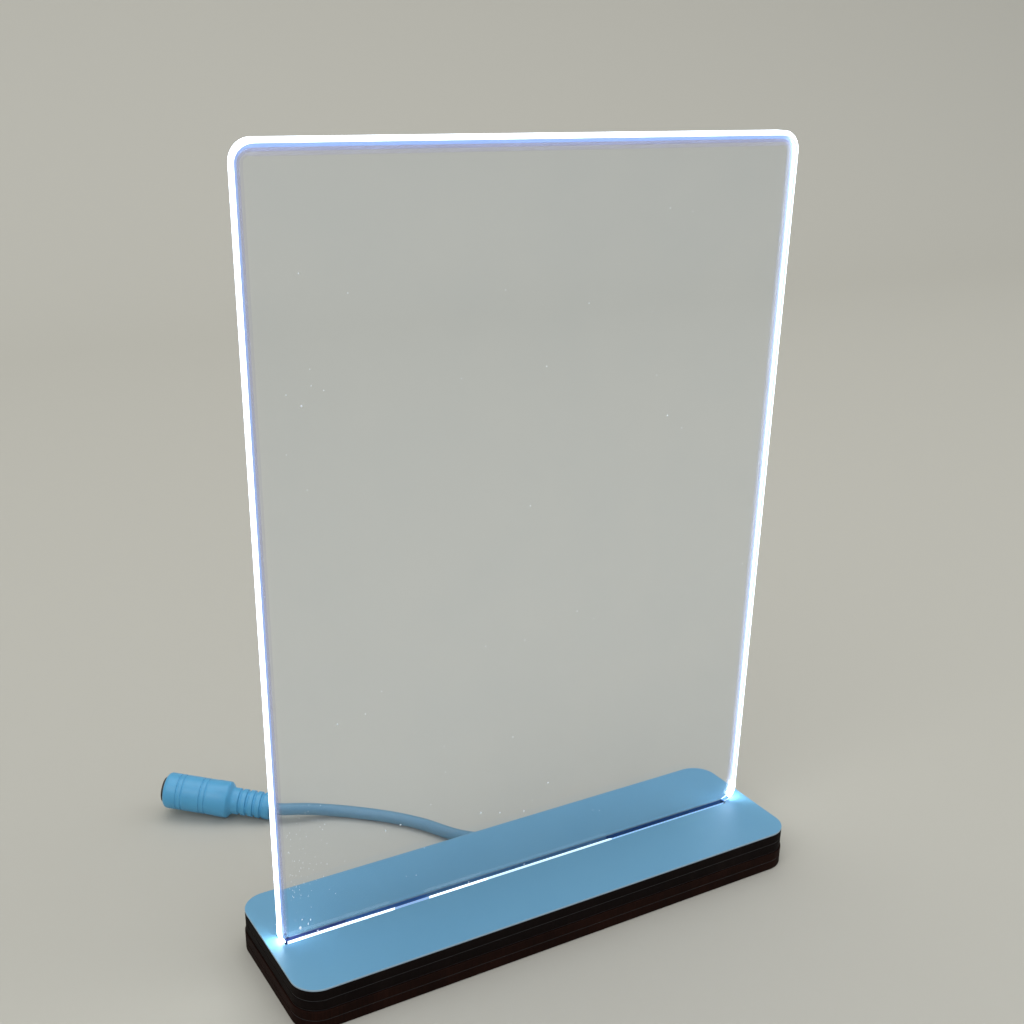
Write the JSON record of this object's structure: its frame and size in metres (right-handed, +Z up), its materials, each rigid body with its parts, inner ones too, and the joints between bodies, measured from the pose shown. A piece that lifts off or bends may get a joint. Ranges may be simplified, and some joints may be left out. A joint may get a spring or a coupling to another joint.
{
  "type": "acrylic led lamp",
  "caption": "Table lamp with a clear edge-lit acrylic panel standing in the slot of a low layered base, with a short lead ending in an in-line power socket.",
  "frame": {"origin": "on the table, under the middle of the base", "axes": "+X along the panel to the right seen from the front, +Y to the back where the cord leaves, +Z up"},
  "size_m": [0.1565, 0.1219, 0.2059],
  "materials": {
    "clear_acrylic": "clear, polished, laser-cut edges",
    "pale_laminate": "satin",
    "charred_board_edge": "fibreboard, charred by the laser",
    "brown_board_edge": "fibreboard, cut edge",
    "adhesive_tape": "foam tape",
    "white_flex_circuit": "white solder mask",
    "white_led_housing": "moulded",
    "lit_phosphor": "lit, cold white",
    "black_resistor": "satin",
    "solder": "satin metal",
    "positive_insulation": "red",
    "negative_insulation": "black",
    "black_nylon": "moulded",
    "pale_cord_jacket": "soft satin",
    "pale_moulding": "soft satin",
    "black_insulator": "moulded",
    "nickel_plate": "plated"
  },
  "bodies": {
    "base": {"top_laminate": "pale_laminate", "top_board": "charred_board_edge", "upper_frame": "charred_board_edge", "lower_frame": "brown_board_edge", "bottom_board": "brown_board_edge", "strip_tape": "adhesive_tape", "led_strip": "white_flex_circuit", "led_1": "white_led_housing", "led_2": "white_led_housing", "led_3": "white_led_housing", "led_4": "white_led_housing", "led_5": "white_led_housing", "led_6": "white_led_housing", "phosphor_1": "lit_phosphor", "phosphor_2": "lit_phosphor", "phosphor_3": "lit_phosphor", "phosphor_4": "lit_phosphor", "phosphor_5": "lit_phosphor", "phosphor_6": "lit_phosphor", "resistor_1": "black_resistor", "resistor_2": "black_resistor", "solder_positive": "solder", "solder_negative": "solder", "lead_positive": "positive_insulation", "lead_negative": "negative_insulation", "cord_inner": "pale_cord_jacket", "cable_tie": "black_nylon", "power_cord": "pale_cord_jacket", "socket_shell": "pale_moulding", "socket_insulator": "black_insulator", "socket_pin": "nickel_plate", "socket_contact": "nickel_plate"},
    "panel": {"acrylic_panel": "clear_acrylic"}
  },
  "joints": [
    {"name": "panel_lift", "type": "slide", "parent": "base", "child": "panel", "axis": [0, 0, 1], "range_m": [0, 0.012]}
  ]
}
